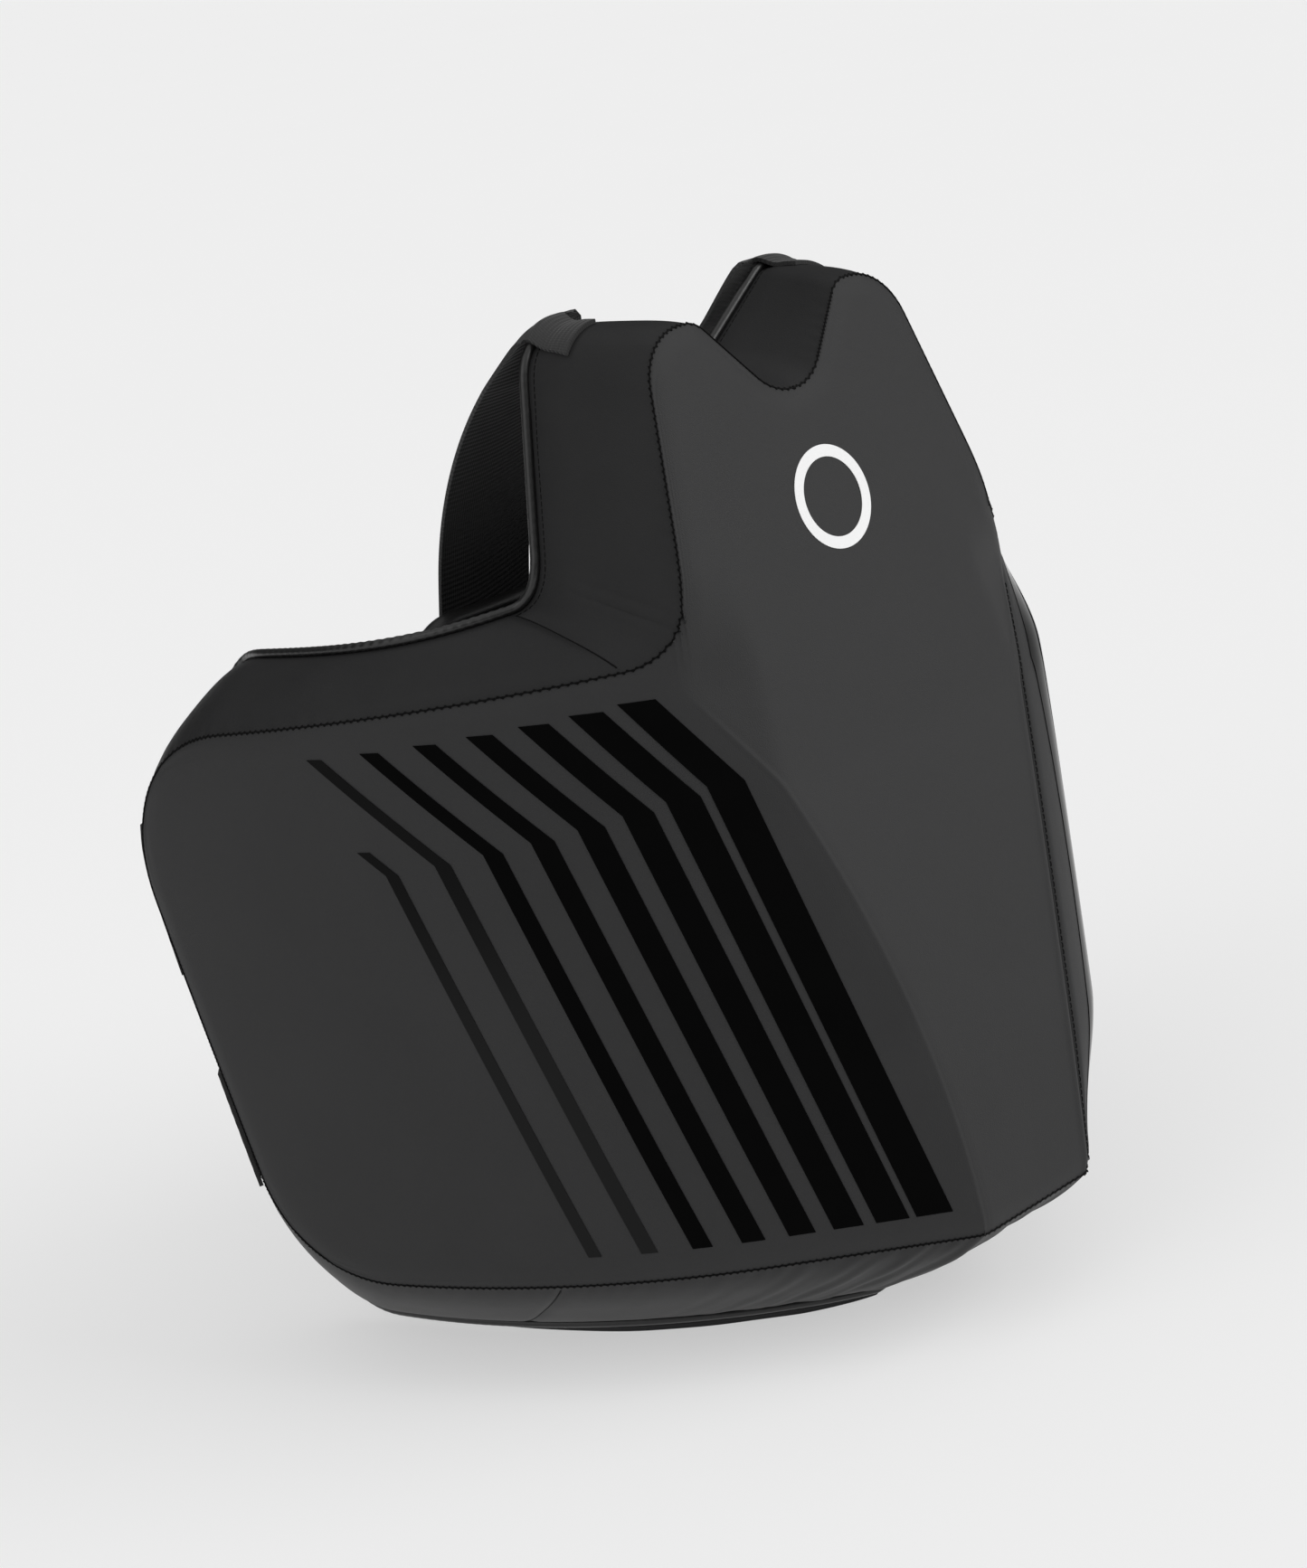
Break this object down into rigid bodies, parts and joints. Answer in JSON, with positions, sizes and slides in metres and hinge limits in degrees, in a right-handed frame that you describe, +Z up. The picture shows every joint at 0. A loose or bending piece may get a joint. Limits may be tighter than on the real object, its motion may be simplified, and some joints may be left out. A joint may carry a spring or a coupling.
{
  "type": "trainer belly pad",
  "caption": "Wrap-round padded chest and belly protector for a boxing trainer, with raised side walls, shoulder straps, a hanging back panel and hook-and-loop waist straps.",
  "frame": {"origin": "middle of the bounding box on the plane that the lower edge stands on", "axes": "+Z up, -Y the front of the belly, +X to the right as seen from the front"},
  "size_m": [0.567, 0.4413, 0.6092],
  "materials": {
    "cover": "matte smooth synthetic leather",
    "side_wall": "satin smooth synthetic leather",
    "piping": "satin synthetic leather binding",
    "foam": "closed cell foam",
    "lining": "matte knitted lining",
    "webbing": "ribbed matte webbing",
    "loop_field": "brushed loop pile",
    "hook_patch": "matte hook tape",
    "gloss_film": "high gloss transfer film",
    "white_film": "white matte transfer film"
  },
  "bodies": {
    "vest": {"front_cover": "cover", "upper_gusset": "side_wall", "side_gusset_right": "side_wall", "side_gusset_left": "side_wall", "bottom_gusset": "side_wall", "chest_foam": "foam", "belly_foam": "foam", "side_foam_right": "foam", "side_foam_left": "foam", "body_lining": "lining", "lining_hem": "lining", "upper_piping": "piping", "side_piping_right": "piping", "side_piping_left": "piping", "bottom_piping": "piping", "stripes_right": "gloss_film", "stripes_left": "gloss_film", "chest_mark": "white_film", "shoulder_tab_right": "webbing", "shoulder_tab_left": "webbing", "strap_base_upper_right": "webbing", "strap_base_upper_left": "webbing", "strap_base_lower_right": "webbing", "strap_base_lower_left": "webbing"},
    "back": {"shoulder_strap_right": "webbing", "shoulder_strap_left": "webbing", "back_pad": "side_wall", "back_lining": "lining", "back_binding": "piping", "loop_panel": "loop_field"},
    "waist_strap_upper_right": {"waist_strap_upper_right": "webbing", "hook_patch_upper_right": "hook_patch"},
    "waist_strap_upper_left": {"waist_strap_upper_left": "webbing", "hook_patch_upper_left": "hook_patch"},
    "waist_strap_lower_right": {"waist_strap_lower_right": "webbing", "hook_patch_lower_right": "hook_patch"},
    "waist_strap_lower_left": {"waist_strap_lower_left": "webbing", "hook_patch_lower_left": "hook_patch"}
  },
  "joints": [
    {"name": "back_swing", "type": "hinge", "parent": "vest", "child": "back", "pos_m": [0, -0.0232, 0.601], "axis": [1, 0, 0], "range_deg": [-11, 0], "stiffness_Nm_per_rad": 6, "springref_deg": 5.16},
    {"name": "upper_strap_right_open", "type": "hinge", "parent": "vest", "child": "waist_strap_upper_right", "pos_m": [0.1978, 0.2181, 0.302], "axis": [0, 0, -1], "range_deg": [0, 130]},
    {"name": "upper_strap_left_open", "type": "hinge", "parent": "vest", "child": "waist_strap_upper_left", "pos_m": [-0.1978, 0.2181, 0.302], "axis": [0, 0, 1], "range_deg": [0, 130]},
    {"name": "lower_strap_right_open", "type": "hinge", "parent": "vest", "child": "waist_strap_lower_right", "pos_m": [0.1978, 0.2181, 0.16], "axis": [0, 0, -1], "range_deg": [0, 130]},
    {"name": "lower_strap_left_open", "type": "hinge", "parent": "vest", "child": "waist_strap_lower_left", "pos_m": [-0.1978, 0.2181, 0.16], "axis": [0, 0, 1], "range_deg": [0, 130]}
  ]
}
